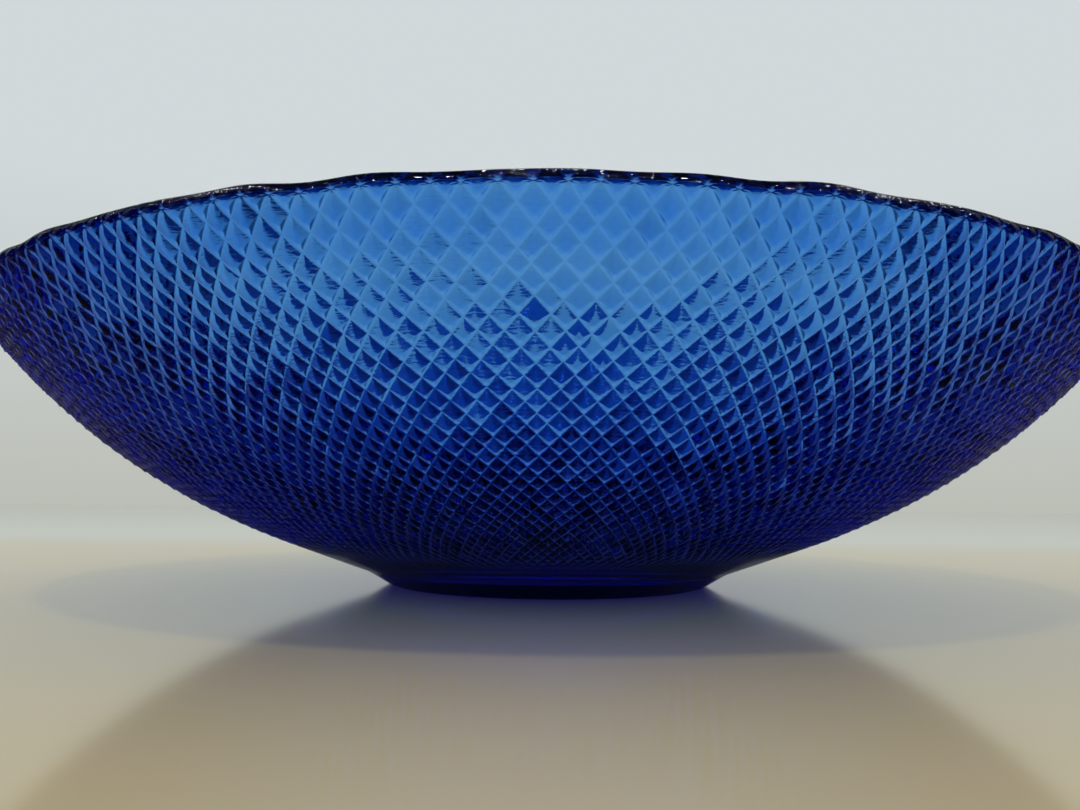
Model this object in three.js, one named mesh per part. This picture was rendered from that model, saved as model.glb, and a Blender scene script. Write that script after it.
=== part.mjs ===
// A wide, shallow fruit bowl of pressed cobalt-blue glass. Millimetres, +Z up, with the
// origin at the centre of the plane that the foot stands on.
//
// The real bowl is one pressing of glass. Its solids are the zones of that pressing, as the
// mould forms them: the foot ring, the base with its floor, the shallow belly, the steeper
// flared wall and the lip. They meet face to face on level planes, and all of them are
// turned from two lines, the outside and the inside of the bowl.

import * as THREE from 'three';
import { mergeVertices } from 'three/addons/utils/BufferGeometryUtils.js';

// Overall size
const RIM_RADIUS = 150;
const HEIGHT = 68;

// Foot
const FOOT_CONTACT_RADIUS = 46.8;
const FOOT_TOP_RADIUS = 54.1;
const FOOT_HEIGHT = 4.4;
const FOOT_FACE_WIDTH = 6;
const FOOT_EDGE = 0.7;
const RECESS_DEPTH = 3;
const RECESS_SLOPE = THREE.MathUtils.degToRad(65);

// Base
const BASE_THICKNESS = 5.2;

// Wall: its rise from level at each end, and how far each end's direction holds, as a
// share of the straight line between them
const RISE_AT_FOOT = THREE.MathUtils.degToRad(20);
const RISE_AT_RIM = THREE.MathUtils.degToRad(51);
const HOLD_AT_FOOT = 0.32;
const HOLD_AT_RIM = 0.43;
const WALL_THICKNESS = 4.2;
const BELLY_HEIGHT = 22;

// Lip
const LIP_THICKNESS = 3;
const LIP_BAND = 2;

// Fineness
const SEGMENTS = 96;
const WALL_STEPS = 6;
const BAND_STEPS = 2;
const LIP_STEPS = 6;

const point = (r, z) => new THREE.Vector2(r, z);
const direction = (rise) => point(Math.cos(rise), Math.sin(rise));
const inward = (along) => point(-along.y, along.x);

// The lip is a half round across the wall's end, and its crest is at HEIGHT
const lipRadius = LIP_THICKNESS / 2;
const lipDirection = direction(RISE_AT_RIM);
const lipCentre = point(RIM_RADIUS - lipRadius, HEIGHT - lipRadius);

// The outside of the wall runs from the foot's top edge to the lip
const wallStart = point(FOOT_TOP_RADIUS, FOOT_HEIGHT);
const wallEnd = lipCentre.clone().addScaledVector(inward(lipDirection), -lipRadius);
const wallChord = wallStart.distanceTo(wallEnd);
const outside = new THREE.CubicBezierCurve(
  wallStart,
  wallStart.clone().addScaledVector(direction(RISE_AT_FOOT), HOLD_AT_FOOT * wallChord),
  wallEnd.clone().addScaledVector(lipDirection, -HOLD_AT_RIM * wallChord),
  wallEnd,
);

// The inside lies one thickness in from it, and the wall thins evenly towards the lip
function insidePoint(t) {
  const thickness = THREE.MathUtils.lerp(WALL_THICKNESS, LIP_THICKNESS, t);
  return outside.getPoint(t).addScaledVector(inward(outside.getTangent(t)), thickness);
}

// Where along a rising curve the height z is reached, halving the interval each time
function whereAtHeight(pointAt, z) {
  let low = 0;
  let high = 1;
  for (let halving = 0; halving < 40; halving += 1) {
    const middle = (low + high) / 2;
    if (pointAt(middle).y < z) {
      low = middle;
    } else {
      high = middle;
    }
  }
  return low;
}

// Points of a rising curve between two heights, ends included
function curveBetween(pointAt, low, high, steps) {
  const from = whereAtHeight(pointAt, low);
  const to = whereAtHeight(pointAt, high);
  const points = [];
  for (let step = 0; step <= steps; step += 1) {
    points.push(pointAt(THREE.MathUtils.lerp(from, to, step / steps)));
  }
  points[0].y = low;
  points[steps].y = high;
  return points;
}

// Points of the whole outside between two heights: the foot's slope, then the wall
function outsideBetween(low, high, steps) {
  const footRadius = (z) =>
    THREE.MathUtils.mapLinear(z, 0, FOOT_HEIGHT, FOOT_CONTACT_RADIUS, FOOT_TOP_RADIUS);
  const points = [];
  if (low < FOOT_HEIGHT) {
    points.push(point(footRadius(low), low));
  }
  if (high <= FOOT_HEIGHT) {
    points.push(point(footRadius(high), high));
    return points;
  }
  const wallLow = Math.max(low, FOOT_HEIGHT);
  return points.concat(curveBetween((t) => outside.getPoint(t), wallLow, high, steps));
}

// Points of the inside between two heights. Below its own start it runs straight on down.
function insideBetween(low, high, steps) {
  const first = insidePoint(0);
  if (low >= first.y) {
    return curveBetween(insidePoint, low, high, steps);
  }
  const foot = point(first.x - (first.y - low) / Math.tan(RISE_AT_FOOT), low);
  return [foot, ...curveBetween(insidePoint, first.y, high, steps)];
}

// Levels where one zone meets the next
const floorLevel = RECESS_DEPTH + BASE_THICKNESS;
const bellyLevel = floorLevel + BELLY_HEIGHT;
const lipLevel = wallEnd.y - LIP_BAND;

// The foot stands on a flat ring with its edges eased, round a shallow recess
function footProfile() {
  const innerFoot = FOOT_CONTACT_RADIUS - FOOT_FACE_WIDTH;
  const recessRadius = innerFoot - RECESS_DEPTH / Math.tan(RECESS_SLOPE);
  return [
    point(innerFoot + FOOT_EDGE, 0),
    point(FOOT_CONTACT_RADIUS - FOOT_EDGE, 0),
    ...outsideBetween(FOOT_EDGE, RECESS_DEPTH, BAND_STEPS),
    point(recessRadius, RECESS_DEPTH),
    point(innerFoot - FOOT_EDGE / Math.tan(RECESS_SLOPE), FOOT_EDGE),
  ];
}

// The base is a disc that fills the foot ring's top, and its upper face is the floor
function baseProfile() {
  return [
    point(0, RECESS_DEPTH),
    ...outsideBetween(RECESS_DEPTH, floorLevel, BAND_STEPS),
    point(0, floorLevel),
  ];
}

// The belly and the wall above it are the shell between the outside and the inside
function shellProfile(low, high) {
  return [
    ...outsideBetween(low, high, WALL_STEPS),
    ...insideBetween(low, high, WALL_STEPS).reverse(),
  ];
}

// The lip's half round goes from the outside over the crest to the inside
function lipProfile() {
  const round = [];
  for (let step = 1; step < LIP_STEPS; step += 1) {
    const turn = RISE_AT_RIM - Math.PI / 2 + (Math.PI * step) / LIP_STEPS;
    round.push(lipCentre.clone().addScaledVector(direction(turn), lipRadius));
  }
  return [
    ...outsideBetween(lipLevel, wallEnd.y, BAND_STEPS),
    ...round,
    ...insideBetween(lipLevel, insidePoint(1).y, BAND_STEPS).reverse(),
  ];
}

const glass = { color: 0x0c1f8c, roughness: 0.05, metalness: 0 };

// Turns a profile about the bowl's axis. One that leaves the axis is closed on itself.
function turned(name, profile) {
  const closed = profile[0].x > 0 ? [...profile, profile[0].clone()] : profile;
  const lathe = new THREE.LatheGeometry(closed, SEGMENTS);
  lathe.deleteAttribute('normal');
  lathe.deleteAttribute('uv');
  lathe.rotateX(Math.PI / 2);
  const geometry = mergeVertices(lathe);
  geometry.computeVertexNormals();
  const mesh = new THREE.Mesh(geometry, new THREE.MeshStandardMaterial(glass));
  mesh.name = name;
  return mesh;
}

const bowl = new THREE.Group();
bowl.add(turned('foot_ring', footProfile()));
bowl.add(turned('base', baseProfile()));
bowl.add(turned('belly', shellProfile(floorLevel, bellyLevel)));
bowl.add(turned('wall', shellProfile(bellyLevel, lipLevel)));
bowl.add(turned('rim', lipProfile()));

export default bowl;
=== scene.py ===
import math

import bpy
import numpy as np
from mathutils import Matrix, Vector


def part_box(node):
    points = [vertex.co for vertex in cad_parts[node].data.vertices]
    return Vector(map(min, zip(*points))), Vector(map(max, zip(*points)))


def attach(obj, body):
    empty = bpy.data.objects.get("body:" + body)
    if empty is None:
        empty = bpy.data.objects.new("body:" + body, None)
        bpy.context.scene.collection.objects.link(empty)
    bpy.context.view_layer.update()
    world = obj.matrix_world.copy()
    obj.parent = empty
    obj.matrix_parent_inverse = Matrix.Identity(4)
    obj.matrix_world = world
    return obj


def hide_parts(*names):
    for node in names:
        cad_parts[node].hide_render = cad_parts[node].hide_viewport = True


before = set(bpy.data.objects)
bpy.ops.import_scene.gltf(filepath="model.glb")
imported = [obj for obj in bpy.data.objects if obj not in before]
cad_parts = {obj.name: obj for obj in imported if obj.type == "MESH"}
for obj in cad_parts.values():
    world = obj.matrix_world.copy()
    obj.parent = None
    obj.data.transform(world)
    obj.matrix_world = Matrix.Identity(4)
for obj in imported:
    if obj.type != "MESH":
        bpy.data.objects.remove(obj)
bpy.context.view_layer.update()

# A wide, shallow fruit bowl of pressed cobalt-blue glass. The solids of the frame are zones of
# one pressing, so one closed body of glass stands for them all.

# Lengths are in metres, and MM turns millimetres into them
MM = 0.001

# Values in capitals are set here or read from the frame. The others are worked out from them.

# Sizes of the bowl, from the frame and, where the frame has none, as in the model
RIM_RADIUS = 150 * MM
HEIGHT = 68 * MM
FOOT_CONTACT_RADIUS = 46.8 * MM
FOOT_TOP_RADIUS = 54.1 * MM
FOOT_HEIGHT = 4.4 * MM
FOOT_FACE_WIDTH = 6 * MM
FOOT_ROUNDING = 1.6 * MM
RECESS_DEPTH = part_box("foot_ring")[1].z
RECESS_SLOPE_WIDTH = 1.4 * MM
INNER_FLOOR_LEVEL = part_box("base")[1].z
INNER_FLOOR_RADIUS = 44 * MM
RISE_AT_FOOT = math.radians(20)
RISE_AT_RIM = math.radians(51)
HOLD_AT_FOOT = 0.32
HOLD_AT_RIM = 0.43
WALL_THICKNESS = 4.2 * MM
LIP_THICKNESS = 3 * MM
LIP_FLATNESS = 0.55

# Fineness of the plain stretches. The inside follows the wall down to INSIDE_END, where 1 is
# the lip and 0 the foot's top edge, and turns to the floor from there.
UNDERSIDE_RINGS = (14 * MM, 30 * MM)
INNER_FLOOR_RING = 20 * MM
CORNER_STEPS = 3
LARGEST_CUT = 0.45
LIP_STEPS = 7
INSIDE_RINGS = 12
INSIDE_END = 0.1
TURN_STEPS = 4
OUTLINE_POINTS = 801

# The relief: two mirrored families of grooves, a little uneven, with a raised cell between them
GROOVES = 200
STEPS_BETWEEN_GROOVES = 3
ROWS = 41
STEPS_PAST_LAST_ROW = 1
RELIEF_START = 2.2 * MM
PAST_WALL_END = 0.6 * MM
GROOVE_JITTER = 0.11
ROWS_HELD_AT_ENDS = 2
RELIEF_DEPTH = 0.8 * MM
DEPTH_POWER = 1.3
DEPTH_JITTER = 0.14
WIDEST_CELL = 3.6 * MM
RELIEF_FADES_FROM = 68 * MM
RELIEF_FADES_OVER = 14 * MM
UP_SEED = 11
DOWN_SEED = 12
CELL_SEED = 7

# The form of one cell: where its crest is, how it falls off to each groove and how it leans
GROOVE_LEVEL = -0.35
CREST = -0.45
UPPER_POWER = 1.6
LOWER_POWER = 2.6
FACET_POWER = 10
VALLEY = 0.24
SHARP_FROM_STEP = 2
LEAN_UP = 0.03
LEAN_JITTER = 0.06
SHALLOW_RELIEF = 0.2 * MM

# The lip's wave, in rises and falls per turn
WAVE_COUNTS = (19, 31, 43, 57)
WAVE_SEED = 9880
WAVE_HEIGHT = 0.163 * MM
SMALLEST_WAVE = 0.4
WAVE_LAG = 1.3
WAVE_REACH = 9 * MM
LIP_RISE = 1.7 * MM

# The camera, from a fit to the photograph's rim, silhouette and foot
PICTURE_WIDTH = 1080
FOCAL_PIXELS = 820.2
SENSOR = 36
CAMERA_DISTANCE = 255 * MM
CAMERA_HEIGHT = 24.2 * MM
NEAREST_SEEN = 5 * MM
TILT_UP = 0.1179
TURN_LEFT = 0.01075
ROLL = 0.00896

# Fine ripples of the glass and dents of its lip, with noise scales per metre or, for the
# dents, per radius of the rim
RIPPLE_HEIGHT = 0.075 * MM
RIPPLE_SCALE = 500
RIPPLE_DISTORTION = 0.6
RIPPLE_FLATNESS = 5
LEAST_RIPPLES = 0.25
PATCH_SCALE = 60
PATCH_LEVEL = 0.42
PATCH_SOFTNESS = 0.12
CALM_RIPPLES = 0.18
LIP_DENT_SCALE = 150
LIP_DENT_DEPTH = 0.3 * MM

# The glass's colour, with painted shade over the lip, and painted shade, darker and more violet,
# where it is seen aslant
GLASS_COLOUR = (0.97, 1.0, 0.9, 1)
# Painted shade: the colour that darkens the glass over the lip's crest and its scallops
LIP_PAINTED_SHADE_COLOUR = (0.42, 0.47, 0.64, 1)
# Painted shade where the glass is seen aslant: a darker violet colour multiplied in, by how aslant
# it is seen
ASLANT_SHADE_COLOUR = (0.85, 0.33, 0.5, 1)
ASLANT_SHADE_FACING = 0.4
ASLANT_SHADE_SOFTNESS = 0.35
ASLANT_SHADE_BLEND = 0.5
MIRRORED_TINT = (0.2, 0.25, 0.9, 1)
GLASS_ROUGHNESS = 0.015
GLASS_IOR = 1.5
UNMIRRORED_SHARE = 0.65
ABSORPTION_COLOUR = (0.027, 0.54, 0.966, 1)
ABSORPTION_DENSITY = 750

# Where the lip gets painted shade: a dark line along its crest, and a scallop below that over each
# cell. The same mask places the lip's dents.
LIP_LINE_FROM = 0.42 * MM
LIP_LINE_OVER = 0.12 * MM
SCALLOP_FROM = -0.1 * MM
SCALLOP_OVER = 0.2 * MM
SCALLOP_SHARE = 0.6
NOTCH_HEIGHT = 0.6 * MM
NOTCH_WIDTH = 0.3

# What is left of the light that falls through the bowl onto the floor
SHADE_AT_RIM = (1, 0.9, 0.8, 1)
SHADE_AT_FOOT = (0.3, 0.45, 0.75, 1)
SHADE_FROM = 85 * MM
SHADE_OVER = 35 * MM

# The floor, in metres where it is a length
FLOOR_HALF = 3.0
FLOOR_NEAR = (0.68, 0.53, 0.28, 1)
FLOOR_FAR = (0.655, 0.665, 0.585, 1)
FLOOR_TURNS_GREY = 0.16
FLOOR_GREY_OVER = 0.12
FLOOR_ROUGHNESS = 0.11
FLOOR_SHINE = 0.35

# The pale backdrop. Where it doesn't lie ahead of the camera, it is dimmer in what glass and
# gloss mirror or let through.
BACKDROP_LOW = (0.50, 0.52, 0.47, 1)
BACKDROP_HIGH = (0.64, 0.69, 0.71, 1)
BACKDROP_HIGH_FROM = 0.35
DIM_MIRRORED = 0.08
DIM_MIRRORED_UNDER = 0.8
DIM_MIRRORED_SOFTNESS = 0.25
DIM_THROUGH = 0.35
DIM_THROUGH_UNDER = 0.88
DIM_THROUGH_SOFTNESS = 0.2

# Lamps: name, place, size and power. The glints show only in what glass and gloss mirror.
CEILING = ("ceiling", (-0.1, -1.1, 2.3), 0.15, 9)
GLINTS = (
    ("glint_above", (0.0, 0.6, 1.9), 0.16, 7),
    ("glint_right", (1.12, 0.69, 1.54), 0.12, 3),
    ("glint_left", (-1.12, 0.69, 1.54), 0.12, 2.5),
)

# For each kind of Mix node, the numbers of its first input and of its result
MIX_SOCKETS = {"VECTOR": (4, 1), "RGBA": (6, 2)}

# A number so small that it only keeps a formula from dividing by nothing
TINY = 1e-30

around = GROOVES * STEPS_BETWEEN_GROOVES


def link(obj):
    bpy.context.scene.collection.objects.link(obj)
    return obj


# The outside line of the bowl, from the foot's top edge to the lip


def direction(rise):
    """Unit row of radius and height that rises at an angle from level."""
    return np.array([math.cos(rise), math.sin(rise)])


def inward(along):
    """A direction turned a quarter round, from along the outside to into the glass."""
    return np.stack([-along[..., 1], along[..., 0]], -1)


def unit(rows):
    return rows / np.linalg.norm(rows, axis=1, keepdims=True)


lip_radius = LIP_THICKNESS / 2
lip_centre = np.array([RIM_RADIUS - lip_radius, HEIGHT - lip_radius])
wall_start = np.array([FOOT_TOP_RADIUS, FOOT_HEIGHT])
wall_end = lip_centre - lip_radius * inward(direction(RISE_AT_RIM))
chord = np.linalg.norm(wall_end - wall_start)
bezier = (
    wall_start,
    wall_start + HOLD_AT_FOOT * chord * direction(RISE_AT_FOOT),
    wall_end - HOLD_AT_RIM * chord * direction(RISE_AT_RIM),
    wall_end,
)


def outside(t):
    """Points of the outside line and its unit direction at t, from 0 to 1."""
    t = np.atleast_1d(t)[:, None]
    a, b, c, d = bezier
    place = (1 - t) ** 3 * a + 3 * (1 - t) ** 2 * t * b + 3 * (1 - t) * t * t * c + t**3 * d
    along = (1 - t) ** 2 * (b - a) + 2 * (1 - t) * t * (c - b) + t * t * (d - c)
    return place, unit(along)


outline_steps = np.linspace(0, 1, OUTLINE_POINTS)
outline_places, _ = outside(outline_steps)
outline_pieces = np.linalg.norm(np.diff(outline_places, axis=0), axis=1)
outline_lengths = np.r_[0, np.cumsum(outline_pieces)]
wall_length = outline_lengths[-1]


def round_lip(turn):
    """Points over the wall's end, from its outside at 0 to its inside at pi, and their normals."""
    ahead, across = np.sin(turn)[:, None], -np.cos(turn)[:, None]
    on, side = direction(RISE_AT_RIM), inward(direction(RISE_AT_RIM))
    place = lip_centre + lip_radius * (LIP_FLATNESS * ahead * on + across * side)
    normal = ahead * on + LIP_FLATNESS * across * side
    return place, unit(normal)


def outside_at(length):
    """The outside line at a length from the foot's top edge, and on over the lip."""
    length = np.atleast_1d(length)
    place, along = outside(np.interp(length, outline_lengths, outline_steps))
    beyond = (length - wall_length)[:, None]
    over, out = round_lip(beyond[:, 0] / lip_radius)
    return np.where(beyond > 0, over, place), np.where(beyond > 0, inward(out), along)


def inside(t):
    """Points of the inside line at t. The wall thins evenly towards the lip."""
    place, along = outside(t)
    thickness = WALL_THICKNESS + (LIP_THICKNESS - WALL_THICKNESS) * np.atleast_1d(t)
    return place + thickness[:, None] * inward(along)


# Plain stretches of the profile, as rows of radius and height, each turned into one ring


def curve(start, corner, end, steps):
    """A corner rounded off: points of a quadratic curve, ends included."""
    t = np.linspace(0, 1, steps + 1)[:, None]
    start, corner, end = map(np.asarray, (start, corner, end))
    return (1 - t) ** 2 * start + 2 * (1 - t) * t * corner + t * t * end


def cut_back(corner, end, radius):
    """The point on the way from a corner to an end where its rounding starts."""
    way = end - corner
    length = np.linalg.norm(way)
    return corner + way * (min(radius, LARGEST_CUT * length) / length)


def rounded(points, radius):
    """A line through points, with each corner between its ends rounded off."""
    points = [np.asarray(point, float) for point in points]
    rows = [points[0][None]]
    for before, corner, after in zip(points, points[1:], points[2:]):
        start, end = cut_back(corner, before, radius), cut_back(corner, after, radius)
        rows.append(curve(start, corner, end, CORNER_STEPS))
    rows.append(points[-1][None])
    return np.concatenate(rows)


def underside():
    """From near the axis under the base, round the foot, up to where the relief starts."""
    inner_foot = FOOT_CONTACT_RADIUS - FOOT_FACE_WIDTH
    level = [(radius, RECESS_DEPTH) for radius in UNDERSIDE_RINGS]
    corners = [
        level[-1],
        (inner_foot - RECESS_SLOPE_WIDTH, RECESS_DEPTH),
        (inner_foot, 0),
        (FOOT_CONTACT_RADIUS, 0),
        (FOOT_TOP_RADIUS, FOOT_HEIGHT),
        tuple(outside_at(RELIEF_START)[0][0]),
    ]
    return np.concatenate([np.array(level[:-1]), rounded(corners, FOOT_ROUNDING)])


def lip():
    """The round over the wall's end, from the end of the relief to the inside."""
    first_turn = (relief_end - wall_length) / lip_radius
    return round_lip(np.linspace(first_turn, math.pi, LIP_STEPS + 1)[1:-1])[0]


def inner():
    """From the lip down the inside, round the turn and over the floor, near the axis."""
    down = inside(np.linspace(1, INSIDE_END, INSIDE_RINGS))
    last = down[-1]
    slope = down[-2] - down[-1]
    corner = (last[0] - slope[0] / slope[1] * (last[1] - INNER_FLOOR_LEVEL), INNER_FLOOR_LEVEL)
    turn = curve(last, corner, (INNER_FLOOR_RADIUS, INNER_FLOOR_LEVEL), TURN_STEPS)[1:]
    floor = np.array([(INNER_FLOOR_RING, INNER_FLOOR_LEVEL)])
    return np.concatenate([down, turn, floor])


# The relief. A place in it is counted in grooves of the up family and of the down family.


row_length = (wall_length + PAST_WALL_END - RELIEF_START) / ROWS
relief_steps = ROWS * STEPS_BETWEEN_GROOVES + STEPS_PAST_LAST_ROW
relief_end = RELIEF_START + row_length * relief_steps / STEPS_BETWEEN_GROOVES


def groove_jitter(seed):
    """How far each groove of one family strays from its even place, in groove spacings."""
    return np.random.default_rng(seed).uniform(-GROOVE_JITTER, GROOVE_JITTER, GROOVES)


up_jitter, down_jitter = groove_jitter(UP_SEED), groove_jitter(DOWN_SEED)
cell_chance = np.random.default_rng(CELL_SEED)
cell_depths = 1 + cell_chance.uniform(-DEPTH_JITTER, DEPTH_JITTER, (GROOVES, GROOVES))
cell_leans = cell_chance.normal(0, LEAN_JITTER, (GROOVES, GROOVES, 2)) + (0, LEAN_UP)
facet_crest = 2 ** (1 / FACET_POWER)


def jitter_at(jitter, place):
    """Jitter of a groove, or between two grooves their mix."""
    low = np.floor(place).astype(int)
    share = place - low
    return (1 - share) * jitter[low % GROOVES] + share * jitter[(low + 1) % GROOVES]


def cell_at(up, down):
    """Numbers of the cell that a place lies in."""
    return np.floor(up).astype(int) % GROOVES, np.floor(down).astype(int) % GROOVES


def flank(x):
    """Height of the glass beside one family of grooves, at x from -1 up to 1."""
    upper = np.maximum(x - CREST, 0) / (1 - CREST)
    lower = np.maximum(CREST - x, 0) / (1 + CREST)
    return 1 - upper**UPPER_POWER - lower**LOWER_POWER


def cell_height(up, down):
    """Height of a place over the grooves, from 0 to 1 at its cell's crest."""
    a, b = flank(1 - 2 * (up % 1)), flank(2 * (down % 1) - 1)
    size = (a**FACET_POWER + b**FACET_POWER + TINY) ** (1 / FACET_POWER)
    return facet_crest * a * b / size


def depth_at(radius):
    """Depth of the relief at a radius: it follows the width of its cells."""
    width = 2 * math.pi * radius / GROOVES
    across = width * 2 * row_length / np.hypot(width, 2 * row_length)
    growth = np.clip((radius - RELIEF_FADES_FROM) / RELIEF_FADES_OVER, 0, 1)
    return RELIEF_DEPTH * (across / WIDEST_CELL) ** DEPTH_POWER * growth


def relief_ring(number):
    """Profile places and angles of one ring of the relief, on and between the grooves."""
    up = np.arange(around) / STEPS_BETWEEN_GROOVES
    down = (np.arange(around) + number) / STEPS_BETWEEN_GROOVES
    up_stray, down_stray = jitter_at(up_jitter, up), jitter_at(down_jitter, down)
    rows_from_end = min(number, relief_steps - number) / STEPS_BETWEEN_GROOVES
    loose = min(1, rows_from_end / ROWS_HELD_AT_ENDS)
    row = number / STEPS_BETWEEN_GROOVES + loose * (down_stray - up_stray)
    place, along = outside_at(RELIEF_START + row_length * row)
    depth = depth_at(place[:, 0]) if number < relief_steps else 0
    height = depth * (cell_height(up, down) * cell_depths[cell_at(up, down)] + GROOVE_LEVEL)
    angle = math.pi / GROOVES * (up + down + (up_stray + down_stray))
    return place - inward(along) * height[:, None], angle


# The mesh: rings of vertices about the axis, and one vertex on it at each end


def plain_ring(row, number):
    """Profile places and angles of an even ring, whose number counts from the relief's first."""
    angle = 2 * math.pi / around * (np.arange(around) + number / 2)
    return np.tile(row, (around, 1)), angle


rows_below = underside()[:-1]
first_ring = len(rows_below)


def bowl_rings():
    """All rings, from the axis below round to the axis inside.

    Each ring is turned by half a step against the one before, so that the mesh's edges
    follow the two families of grooves.
    """
    rows_above = np.concatenate([lip(), inner()])
    below = [plain_ring(row, at - first_ring) for at, row in enumerate(rows_below)]
    relief = [relief_ring(number) for number in range(relief_steps + 1)]
    above = [plain_ring(row, relief_steps + 1 + at) for at, row in enumerate(rows_above)]
    return below + relief + above


wave_draws = np.random.default_rng(WAVE_SEED).uniform(size=(len(WAVE_COUNTS), 2))


def wave(angle):
    """How far the lip stands above the mould's edge at an angle."""
    total = np.zeros_like(angle)
    for count, (draw, phase) in zip(WAVE_COUNTS, wave_draws):
        size = SMALLEST_WAVE + (1 - SMALLEST_WAVE) * draw
        total += size * np.sin(count * angle + 2 * math.pi * phase)
    return LIP_RISE + WAVE_HEIGHT * total


def ring_vertices(place, angle):
    """Vertices of one ring, moved by the lip's wave where they are near the lip."""
    reach = np.clip(1 - (HEIGHT - place[:, 1]) / WAVE_REACH, 0, 1) ** 2
    z = place[:, 1] + wave(angle) * reach
    r = place[:, 0] + (wave(angle + WAVE_LAG) - LIP_RISE) * reach
    return np.stack([r * np.cos(angle), r * np.sin(angle), z], -1)


def triangle_corners(count):
    """Ring and place of each triangle's corners. Ring -1 and ring count are on the axis."""
    place = np.arange(around)
    corners = [[(-1, place), (0, place + 1), (0, place)]]
    for ring in range(count - 1):
        corners.append([(ring, place), (ring, place + 1), (ring + 1, place)])
        corners.append([(ring, place + 1), (ring + 1, place + 1), (ring + 1, place)])
    corners.append([(count - 1, place), (count - 1, place + 1), (count, place)])
    faces = [[np.stack(np.broadcast_arrays(*corner), -1) for corner in trio] for trio in corners]
    joined = np.concatenate([np.stack(trio, 1) for trio in faces])
    return joined[..., 0], joined[..., 1]


def vertex_numbers(ring, place, count):
    """Numbers of the vertices at rings and places, in the order that bowl_mesh() lists them."""
    on_ring = 1 + ring * around + place % around
    last = 1 + count * around
    return np.where(ring < 0, 0, np.where(ring == count, last, on_ring))


def bowl_mesh():
    """One closed body of glass, with what its material needs to know of the pattern."""
    rings = bowl_rings()
    below, above = (0, 0, RECESS_DEPTH), (0, 0, INNER_FLOOR_LEVEL)
    vertices = np.concatenate([[below], *(ring_vertices(*ring) for ring in rings), [above]])
    ring, place = triangle_corners(len(rings))
    mesh = bpy.data.meshes.new("glass_bowl")
    mesh.from_pydata(vertices.tolist(), [], vertex_numbers(ring, place, len(rings)).tolist())
    mesh.shade_smooth()
    rows = np.array([places.mean(axis=0) for places, _ in rings])
    mark_grooves(mesh)
    mark_cells(mesh, ring, place, rows)
    mark_wall(mesh, vertices, rows)
    return mesh


def keep(mesh, name, kind, domain, values):
    """Keeps values as an attribute of the mesh, where the material reads them."""
    field = "vector" if kind == "FLOAT_VECTOR" else "value"
    mesh.attributes.new(name, kind, domain).data.foreach_set(field, values.ravel())


def mark_grooves(mesh):
    """Makes the grooves' edges crisp."""
    ends = np.zeros(len(mesh.edges) * 2, int)
    mesh.edges.foreach_get("vertices", ends)
    ends = np.sort(ends.reshape(-1, 2), axis=1) - 1
    ring, place = ends // around, ends % around
    number = ring[:, 0] - first_ring
    rising = (ring[:, 1] == ring[:, 0] + 1) & (number >= SHARP_FROM_STEP) & (number < relief_steps)
    straight = place[:, 0] == place[:, 1]
    back = (place[:, 0] - place[:, 1]) % around == 1
    up = rising & straight & (place[:, 0] % STEPS_BETWEEN_GROOVES == 0)
    down = rising & back & ((place[:, 0] + number) % STEPS_BETWEEN_GROOVES == 0)
    keep(mesh, "sharp_edge", "BOOLEAN", "EDGE", up | down)


def ring_depths(rows):
    """Depth of the relief at each ring and at the two ends. Plain rings have none."""
    number = np.arange(len(rows)) - first_ring
    in_relief = (number > 0) & (number <= relief_steps)
    return np.r_[np.where(in_relief, depth_at(rows[:, 0]), 0), 0, 0]


def mark_cells(mesh, ring, place, rows):
    """Keeps each corner's place in the pattern with the depth there, and each cell's lean."""
    up = place / STEPS_BETWEEN_GROOVES
    down = (place + ring - first_ring) / STEPS_BETWEEN_GROOVES
    cell = cell_at(up.mean(axis=1), down.mean(axis=1))
    depth = ring_depths(rows)[ring] * cell_depths[cell][:, None]
    keep(mesh, "pattern_place", "FLOAT_VECTOR", "CORNER", np.stack([up, down, depth], -1))
    leans = np.concatenate([cell_leans[cell], np.zeros((len(ring), 1))], 1)
    keep(mesh, "cell_lean", "FLOAT_VECTOR", "FACE", leans)


def mark_wall(mesh, vertices, rows):
    """Keeps each vertex's direction out of the smooth wall, and how far past its end it is."""
    ring = np.clip((np.arange(len(vertices)) - 1) // around, 0, len(rows) - 1)
    numbers = np.arange(len(rows)) - first_ring
    _, along = outside_at(RELIEF_START + row_length * numbers / STEPS_BETWEEN_GROOVES)
    out, up = -inward(along)[ring].T
    angle = np.arctan2(vertices[:, 1], vertices[:, 0])
    normals = np.stack([out * np.cos(angle), out * np.sin(angle), up], -1)
    keep(mesh, "wall_direction", "FLOAT_VECTOR", "POINT", normals)
    keep(mesh, "past_wall", "FLOAT", "POINT", (rows[ring] - lip_centre) @ direction(RISE_AT_RIM))


# Nodes of the materials, written as formulas


def new_material(name):
    material = bpy.data.materials.new(name)
    material.use_nodes = True
    material.node_tree.nodes.clear()
    return material, material.node_tree


class Value:
    """A number in a material's nodes, so that a formula reads as one."""

    def __init__(self, tree, socket):
        self.tree, self.socket = tree, socket

    def step(self, operation, *others):
        node = self.tree.nodes.new("ShaderNodeMath")
        node.operation = operation
        fill(node, dict(enumerate((self, *others))))
        return Value(self.tree, node.outputs[0])

    def clamped(self, low=0, high=1):
        return self.step("MINIMUM", high).step("MAXIMUM", low)

    def __add__(self, other):
        return self.step("ADD", other)

    def __sub__(self, other):
        return self.step("SUBTRACT", other)

    def __mul__(self, other):
        return self.step("MULTIPLY", other)

    def __truediv__(self, other):
        return self.step("DIVIDE", other)

    def __pow__(self, other):
        return self.step("POWER", other)


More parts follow.
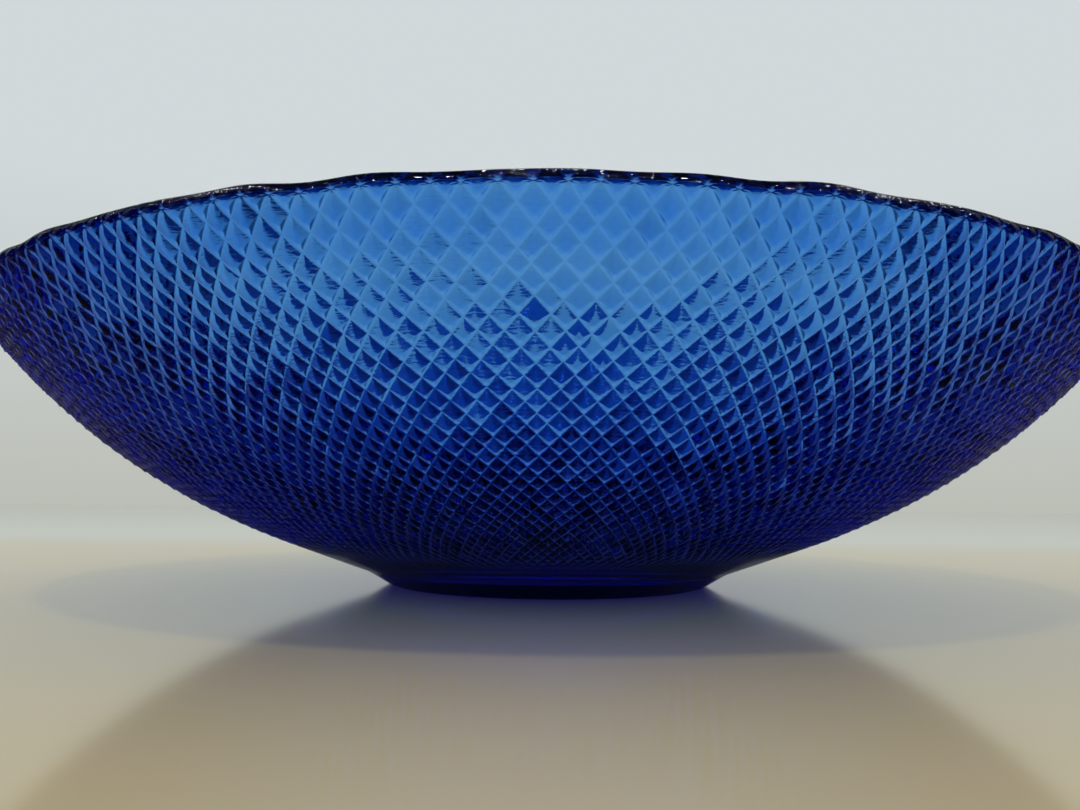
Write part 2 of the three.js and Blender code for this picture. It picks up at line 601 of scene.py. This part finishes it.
class Direction:
    """The same for a vector."""

    def __init__(self, tree, socket):
        self.tree, self.socket = tree, socket

    def step(self, operation, *others):
        node = self.tree.nodes.new("ShaderNodeVectorMath")
        node.operation = operation
        fill(node, dict(enumerate((self, *others))))
        return node

    def vector(self, operation, *others):
        return Direction(self.tree, self.step(operation, *others).outputs["Vector"])

    def times(self, value):
        node = self.step("SCALE")
        fill(node, {"Scale": value})
        return Direction(self.tree, node.outputs["Vector"])

    def length(self):
        return Value(self.tree, self.step("LENGTH").outputs["Value"])

    def parts(self):
        node = self.tree.nodes.new("ShaderNodeSeparateXYZ")
        fill(node, {"Vector": self})
        return [Value(self.tree, socket) for socket in node.outputs]


def fill(node, inputs):
    """Sets inputs of a node to plain values, or links them to formulas or sockets."""
    for key, value in inputs.items():
        source = getattr(value, "socket", value)
        if isinstance(source, bpy.types.NodeSocket):
            node.id_data.links.new(source, node.inputs[key])
        else:
            node.inputs[key].default_value = value
    return node


def new_node(tree, kind, inputs):
    return fill(tree.nodes.new(kind), inputs)


def attribute(tree, name):
    node = tree.nodes.new("ShaderNodeAttribute")
    node.attribute_name = name
    return Direction(tree, node.outputs["Vector"])


def coordinates(tree, kind):
    return Direction(tree, tree.nodes.new("ShaderNodeTexCoord").outputs[kind])


def noise(tree, place, scale, detail=2, distortion=0):
    settings = {"Vector": place, "Scale": scale, "Detail": detail, "Distortion": distortion}
    return Value(tree, new_node(tree, "ShaderNodeTexNoise", settings).outputs["Fac"])


def mix(tree, kind, share, first, second, blend="MIX"):
    """The first vector or colour at share 0, and at share 1 the second, or the two blended."""
    start, result = MIX_SOCKETS[kind]
    node = tree.nodes.new("ShaderNodeMix")
    node.data_type = kind
    node.blend_type = blend
    fill(node, {0: share, start: first, start + 1: second})
    return node.outputs[result]


def shader_mix(tree, share, first, second):
    inputs = {0: share, 1: first.outputs[0], 2: second.outputs[0]}
    return new_node(tree, "ShaderNodeMixShader", inputs)


def colour_ramp(tree, place, first, second, end=1):
    """From the first colour at place 0 to the second at the end, and beyond."""
    node = new_node(tree, "ShaderNodeValToRGB", {"Fac": place})
    low, high = node.color_ramp.elements
    low.position, low.color = 0, first
    high.position, high.color = end, second
    return node.outputs["Color"]


# The pattern's part in the glass


def flank_nodes(place, sign):
    """Height beside a family of grooves, as flank() has it, and its slope, eased at a groove."""
    x = place.step("FRACT") * (2 * sign) - sign
    off = x - CREST
    upper = off.step("MAXIMUM", 0) / (1 - CREST)
    lower = (off * -1).step("MAXIMUM", 0) / (1 + CREST)
    height = (upper**UPPER_POWER + lower**LOWER_POWER) * -1 + 1
    rising = lower ** (LOWER_POWER - 1) * (LOWER_POWER / (1 + CREST))
    slope = rising - upper ** (UPPER_POWER - 1) * (UPPER_POWER / (1 - CREST))
    out_of_valley = ((x.step("ABSOLUTE") * -1 + 1) / VALLEY).step("MINIMUM", 1)
    return height, slope * out_of_valley**2 * (out_of_valley * -2 + 3)


def cell_slopes(up, down, depth):
    """The slopes of cell_height() times the depth, along each family's count."""
    a, a_slope = flank_nodes(up, -1)
    b, b_slope = flank_nodes(down, 1)
    size = (a**FACET_POWER + b**FACET_POWER + TINY) ** (1 + 1 / FACET_POWER)
    by_a = b ** (FACET_POWER + 1) * a_slope / size * (depth * facet_crest)
    by_b = a ** (FACET_POWER + 1) * b_slope / size * (depth * facet_crest)
    return by_a, by_b


def cell_normal(tree, up, down, depth):
    """The patterned wall's outward normal, worked out from the place in the pattern."""
    by_a, by_b = cell_slopes(up, down, depth)
    lean_around, lean_up, _ = attribute(tree, "cell_lean").parts()
    share = depth / RELIEF_DEPTH
    outward = attribute(tree, "wall_direction").vector("NORMALIZE")
    across = coordinates(tree, "Object").vector("CROSS_PRODUCT", (0, 0, -1))
    sideways = across.vector("NORMALIZE")
    upward = outward.vector("CROSS_PRODUCT", sideways)
    slope_around = (by_b - by_a) * (GROOVES / math.pi) / across.length() + lean_around * share
    slope_up = (by_a + by_b) / row_length + lean_up * share
    normal = outward.vector("SUBTRACT", sideways.times(slope_around))
    return normal.vector("SUBTRACT", upward.times(slope_up)).vector("NORMALIZE")


def glass_normal(tree):
    """The normal of the pattern where there is one, and elsewhere the mesh's own."""
    up, down, depth = attribute(tree, "pattern_place").parts()
    geometry = tree.nodes.new("ShaderNodeNewGeometry")
    from_inside = Value(tree, geometry.outputs["Backfacing"])
    normal = cell_normal(tree, up, down, depth).times(from_inside * -2 + 1)
    turn = new_node(tree, "ShaderNodeVectorTransform", {"Vector": normal})
    turn.vector_type = "NORMAL"
    turn.convert_from, turn.convert_to = "OBJECT", "WORLD"
    patterned = (depth / SHALLOW_RELIEF).step("MINIMUM", 1)
    mixed = mix(tree, "VECTOR", patterned, geometry.outputs["Normal"], turn.outputs[0])
    return Direction(tree, mixed).vector("NORMALIZE")


def off_groove(place):
    """How far a place is from the nearest groove of its family, up to a half."""
    return ((place + 0.5).step("FRACT") - 0.5).step("ABSOLUTE")


def lip_shade_and_dent_share(tree):
    """Share of the lip's painted shade and of its dents: 1 on the lip's crest, less in a scallop
    below it over each cell, and 0 further down.
    """
    past, _, _ = attribute(tree, "past_wall").parts()
    up, down, _ = attribute(tree, "pattern_place").parts()
    line = (past - LIP_LINE_FROM) / LIP_LINE_OVER
    notch = off_groove(up).step("MINIMUM", off_groove(down)) / NOTCH_WIDTH * -1 + 1
    notch = notch.step("MAXIMUM", 0) * NOTCH_HEIGHT
    scallop = ((past - SCALLOP_FROM - notch) / SCALLOP_OVER).step("MINIMUM", 1) * SCALLOP_SHARE
    return line.clamped(low=scallop).step("MAXIMUM", 0)


def ripples(tree):
    """Fine level wrinkles where the mould was worn, in patches, and dents along the lip."""
    place = coordinates(tree, "Object")
    _, _, depth = attribute(tree, "pattern_place").parts()
    flat = place.vector("MULTIPLY", (1, 1, RIPPLE_FLATNESS))
    fine = noise(tree, flat, RIPPLE_SCALE, distortion=RIPPLE_DISTORTION)
    fine = fine * (depth / RELIEF_DEPTH).clamped(low=LEAST_RIPPLES)
    patches = (noise(tree, place, PATCH_SCALE) - PATCH_LEVEL) / PATCH_SOFTNESS
    along_rim = place.vector("MULTIPLY", (1, 1, 0)).vector("NORMALIZE")
    dents = noise(tree, along_rim, LIP_DENT_SCALE, detail=0) * lip_shade_and_dent_share(tree)
    return fine * patches.clamped(low=CALM_RIPPLES) + dents * (LIP_DENT_DEPTH / RIPPLE_HEIGHT)


# Materials


def glass_colour(tree):
    """The glass's own colour, with painted shade over the lip and a darker violet tint painted
    where it is seen aslant.
    """
    # Painted shade: the glass is darkened over the lip's crest and in a scallop under it
    body = mix(tree, "RGBA", lip_shade_and_dent_share(tree), GLASS_COLOUR, LIP_PAINTED_SHADE_COLOUR)
    # Painted shade: where the glass is seen aslant its colour is multiplied towards a darker
    # violet
    weight = new_node(tree, "ShaderNodeLayerWeight", {"Blend": ASLANT_SHADE_BLEND})
    edge = (Value(tree, weight.outputs["Facing"]) - ASLANT_SHADE_FACING) / ASLANT_SHADE_SOFTNESS
    return mix(tree, "RGBA", edge.clamped(), body, ASLANT_SHADE_COLOUR, blend="MULTIPLY")


def glass_surface(tree):
    """Clear glass, whose outer face mirrors less than its inner one."""
    colour = glass_colour(tree)
    relief = {"Height": ripples(tree), "Normal": glass_normal(tree)}
    bump = new_node(tree, "ShaderNodeBump", {"Strength": 1, "Distance": RIPPLE_HEIGHT, **relief})
    shared = {"Roughness": GLASS_ROUGHNESS, "IOR": GLASS_IOR, "Normal": bump.outputs["Normal"]}
    tinted = {"Base Color": colour, "Transmission Weight": 1, "Specular Tint": MIRRORED_TINT}
    glass = new_node(tree, "ShaderNodeBsdfPrincipled", {**shared, **tinted})
    clear = new_node(tree, "ShaderNodeBsdfRefraction", {**shared, "Color": colour})
    geometry = tree.nodes.new("ShaderNodeNewGeometry")
    front = (Value(tree, geometry.outputs["Backfacing"]) * -1 + 1) * UNMIRRORED_SHARE
    return shader_mix(tree, front, glass, clear)


def shadow_surface(tree):
    """What shadows and the floor's light see: thin at the rim, and deep blue at the foot."""
    x, y, _ = coordinates(tree, "Object").parts()
    radius = (x * x + y * y).step("SQRT")
    inwards = (radius * -1 + SHADE_FROM) / SHADE_OVER
    colour = mix(tree, "RGBA", inwards, SHADE_AT_RIM, SHADE_AT_FOOT)
    return new_node(tree, "ShaderNodeBsdfTransparent", {"Color": colour})


def glass_material():
    material, tree = new_material("cobalt_glass")
    path = tree.nodes.new("ShaderNodeLightPath").outputs
    shadow, diffuse = Value(tree, path["Is Shadow Ray"]), Value(tree, path["Is Diffuse Ray"])
    lighting = shadow.step("MAXIMUM", diffuse)
    surface = shader_mix(tree, lighting, glass_surface(tree), shadow_surface(tree))
    absorption = {"Color": ABSORPTION_COLOUR, "Density": ABSORPTION_DENSITY}
    volume = new_node(tree, "ShaderNodeVolumeAbsorption", absorption)
    ends = {"Surface": surface.outputs[0], "Volume": volume.outputs[0]}
    new_node(tree, "ShaderNodeOutputMaterial", ends)
    return material


def floor_material():
    """Pale and warm near the bowl, and as grey as the backdrop further back."""
    material, tree = new_material("pale_floor")
    _, y, _ = coordinates(tree, "Object").parts()
    colour = colour_ramp(tree, (y - FLOOR_TURNS_GREY) / FLOOR_GREY_OVER, FLOOR_NEAR, FLOOR_FAR)
    look = {"Base Color": colour, "Roughness": FLOOR_ROUGHNESS, "Specular IOR Level": FLOOR_SHINE}
    surface = new_node(tree, "ShaderNodeBsdfPrincipled", look)
    new_node(tree, "ShaderNodeOutputMaterial", {"Surface": surface.outputs[0]})
    return material


# Stage


def make_floor():
    mesh = bpy.data.meshes.new("floor")
    signs = ((-1, -1), (1, -1), (1, 1), (-1, 1))
    mesh.from_pydata([(x * FLOOR_HALF, y * FLOOR_HALF, 0) for x, y in signs], [], [(0, 1, 2, 3)])
    mesh.materials.append(floor_material())
    link(bpy.data.objects.new("floor", mesh))


def backdrop_strength(tree, x, y):
    """1 ahead of the camera, and less to the sides and behind it, in the glass alone."""
    path = tree.nodes.new("ShaderNodeLightPath").outputs
    through = Value(tree, path["Is Transmission Ray"])
    mirrored = Value(tree, path["Is Glossy Ray"]) * (through * -1 + 1)
    not_ahead = ((y * -1 + DIM_MIRRORED_UNDER) / DIM_MIRRORED_SOFTNESS).clamped()
    ahead = y / (x * x + y * y + TINY).step("SQRT")
    beside = ((ahead * -1 + DIM_THROUGH_UNDER) / DIM_THROUGH_SOFTNESS).clamped()
    dimming = mirrored * not_ahead * (1 - DIM_MIRRORED)
    dimming = dimming + through * beside * (1 - DIM_THROUGH)
    return dimming * -1 + 1


def make_world():
    """A pale backdrop, dimmer on the camera's side where the glass shows it."""
    world = bpy.data.worlds.new("studio")
    bpy.context.scene.world = world
    world.use_nodes = True
    tree = world.node_tree
    x, y, z = coordinates(tree, "Generated").parts()
    colour = colour_ramp(tree, z, BACKDROP_LOW, BACKDROP_HIGH, end=BACKDROP_HIGH_FROM)
    fill(tree.nodes["Background"], {"Color": colour, "Strength": backdrop_strength(tree, x, y)})


def area_lamp(name, place, size, power):
    """A square lamp that faces the middle of the bowl's foot."""
    lamp = bpy.data.lights.new(name, "AREA")
    lamp.size = size
    lamp.energy = power
    obj = link(bpy.data.objects.new(name, lamp))
    obj.location = place
    to_bowl = Vector((0, 0, 0)) - Vector(place)
    obj.rotation_euler = to_bowl.to_track_quat("-Z", "Y").to_euler()
    return obj


def make_lamps():
    area_lamp(*CEILING)
    for settings in GLINTS:
        glint = area_lamp(*settings)
        glint.visible_camera = False
        glint.visible_diffuse = False
        glint.visible_transmission = False


def make_camera():
    data = bpy.data.cameras.new("camera")
    data.sensor_width = SENSOR
    data.lens = FOCAL_PIXELS / PICTURE_WIDTH * SENSOR
    data.clip_start = NEAREST_SEEN
    camera = link(bpy.data.objects.new("camera", data))
    turn = Matrix.Rotation(TURN_LEFT, 4, "Z")
    tilt = Matrix.Rotation(math.pi / 2 + TILT_UP, 4, "X")
    roll = Matrix.Rotation(ROLL, 4, "Z")
    place = Matrix.Translation((0, -CAMERA_DISTANCE, CAMERA_HEIGHT))
    camera.matrix_world = place @ turn @ tilt @ roll
    bpy.context.scene.camera = camera


def make_bowl():
    mesh = bowl_mesh()
    mesh.materials.append(glass_material())
    bowl = link(bpy.data.objects.new("glass_bowl", mesh))
    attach(bowl, "root")
    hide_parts("foot_ring", "base", "belly", "wall", "rim")


make_camera()
make_world()
make_floor()
make_bowl()
make_lamps()
bpy.context.scene.view_settings.view_transform = "Standard"
